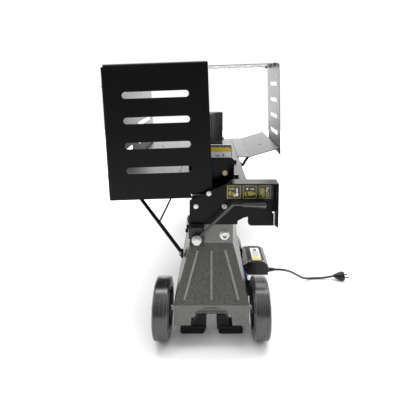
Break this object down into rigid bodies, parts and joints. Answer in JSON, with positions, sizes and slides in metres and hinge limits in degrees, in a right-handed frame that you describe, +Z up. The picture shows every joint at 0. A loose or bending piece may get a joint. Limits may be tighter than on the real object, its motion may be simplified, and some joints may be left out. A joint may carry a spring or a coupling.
{
  "type": "electric log splitter",
  "caption": "Horizontal electric log splitter: a hydraulic pusher drives logs along a beam onto a fixed wedge, under a slotted sheet-metal guard on a wheeled stand.",
  "frame": {"origin": "on the floor, midway along and across the machine", "axes": "+Y along the beam from the wheeled end to the wedge, +Z up, +X towards the lever grip and motor side"},
  "size_m": [0.8776, 1.19, 0.8729],
  "materials": {
    "black_powder": "satin textured powder coat",
    "black_paint": "semi-gloss paint",
    "hammered_grey": "hammered grey paint",
    "bare_steel": "machined",
    "chromed_steel": "polished",
    "zinc_plate": "bright zinc",
    "brass": "machined",
    "tyre_rubber": "matte rubber",
    "rim_plastic": "moulded",
    "foot_rubber": "matte rubber",
    "motor_blue": "semi-gloss paint",
    "cast_aluminium": "die cast",
    "cast_iron_black": "painted casting",
    "black_plastic": "fine grain",
    "green_plastic": "gloss",
    "red_plastic": "gloss",
    "label_film": "printed film",
    "decal_film": "printed film",
    "cord_pvc": "satin sheath"
  },
  "bodies": {
    "frame": {"main_beam": "hammered_grey", "deck_plate": "black_powder", "front_end_plate": "black_paint", "rear_end_plate": "black_paint", "piston_rod": "chromed_steel", "piston": "bare_steel", "oil_tank": "black_paint", "tank_fitting": "brass", "wedge": "black_paint", "left_tray": "black_powder", "right_tray": "black_powder", "deck_bolts": "black_paint", "tray_brackets": "black_powder", "front_guard_panel": "black_powder", "left_near_panel": "black_powder", "left_far_panel": "black_powder", "right_panel": "black_powder", "top_panel": "black_powder", "guard_bolts": "zinc_plate", "guard_strut": "black_paint", "front_leg": "hammered_grey", "foot_bar": "hammered_grey", "rubber_feet": "foot_rubber", "rear_leg": "hammered_grey", "axle": "zinc_plate", "axle_caps": "zinc_plate", "motor_bracket": "black_paint", "motor_housing": "motor_blue", "fan_cover": "black_plastic", "pump_body": "cast_aluminium", "hydraulic_pipes": "bare_steel", "switch_box": "black_plastic", "switch_lid": "black_plastic", "cable_gland": "black_plastic", "valve_body": "cast_iron_black", "oil_plug": "zinc_plate", "lever_guard": "black_powder", "guard_decal": "decal_film", "cord": "cord_pvc", "mains_plug": "black_plastic"},
    "ram": {"cylinder_barrel": "bare_steel", "cylinder_gland": "bare_steel", "pusher_block": "black_paint", "pusher_foot": "bare_steel", "pusher_keeper": "bare_steel", "pusher_bolts": "zinc_plate", "pusher_label": "label_film"},
    "left_wheel": {"left_tyre": "tyre_rubber", "left_rim": "rim_plastic"},
    "right_wheel": {"right_tyre": "tyre_rubber", "right_rim": "rim_plastic"},
    "rotor": {"rotor_shaft": "bare_steel", "cooling_fan": "black_plastic", "drive_gear": "bare_steel"},
    "pump_gear": {"driven_gear": "bare_steel"},
    "start_key": {"start_button": "green_plastic"},
    "stop_key": {"stop_button": "red_plastic"},
    "lever": {"lever_rod": "black_paint", "lever_grip": "black_plastic"},
    "spool": {"valve_spool": "chromed_steel"}
  },
  "joints": [
    {"name": "ram_slide", "type": "slide", "parent": "frame", "child": "ram", "axis": [0, 1, 0], "range_m": [0, 0.355]},
    {"name": "left_wheel_spin", "type": "hinge", "parent": "frame", "child": "left_wheel", "pos_m": [-0.149, -0.503, 0.09], "axis": [1, 0, 0], "continuous": true},
    {"name": "right_wheel_spin", "type": "hinge", "parent": "frame", "child": "right_wheel", "pos_m": [0.149, -0.503, 0.09], "axis": [1, 0, 0], "continuous": true},
    {"name": "rotor_spin", "type": "hinge", "parent": "frame", "child": "rotor", "pos_m": [0.07, -0.3, 0.08], "axis": [0, 1, 0], "continuous": true},
    {"name": "pump_gear_spin", "type": "hinge", "parent": "frame", "child": "pump_gear", "pos_m": [0.07, -0.39, 0.11], "axis": [0, 1, 0], "continuous": true},
    {"name": "start_press", "type": "slide", "parent": "frame", "child": "start_key", "axis": [-1, 0, 0], "range_m": [0, 0.003], "stiffness_N_per_m": 800, "springref_m": -0.002},
    {"name": "stop_press", "type": "slide", "parent": "frame", "child": "stop_key", "axis": [-1, 0, 0], "range_m": [0, 0.003], "stiffness_N_per_m": 800, "springref_m": -0.002},
    {"name": "lever_tilt", "type": "hinge", "parent": "frame", "child": "lever", "pos_m": [-0.044, -0.517, 0.316], "axis": [0, 1, 0], "range_deg": [0, 22], "stiffness_Nm_per_rad": 4, "springref_deg": -20.05},
    {"name": "spool_shift", "type": "slide", "parent": "frame", "child": "spool", "axis": [1, 0, 0], "range_m": [-0.0055, 0]}
  ],
  "couplings": [
    {"joint": "pump_gear_spin", "follows": "rotor_spin", "ratio": -1},
    {"joint": "spool_shift", "follows": "lever_tilt", "m_per_rad": -0.013}
  ]
}
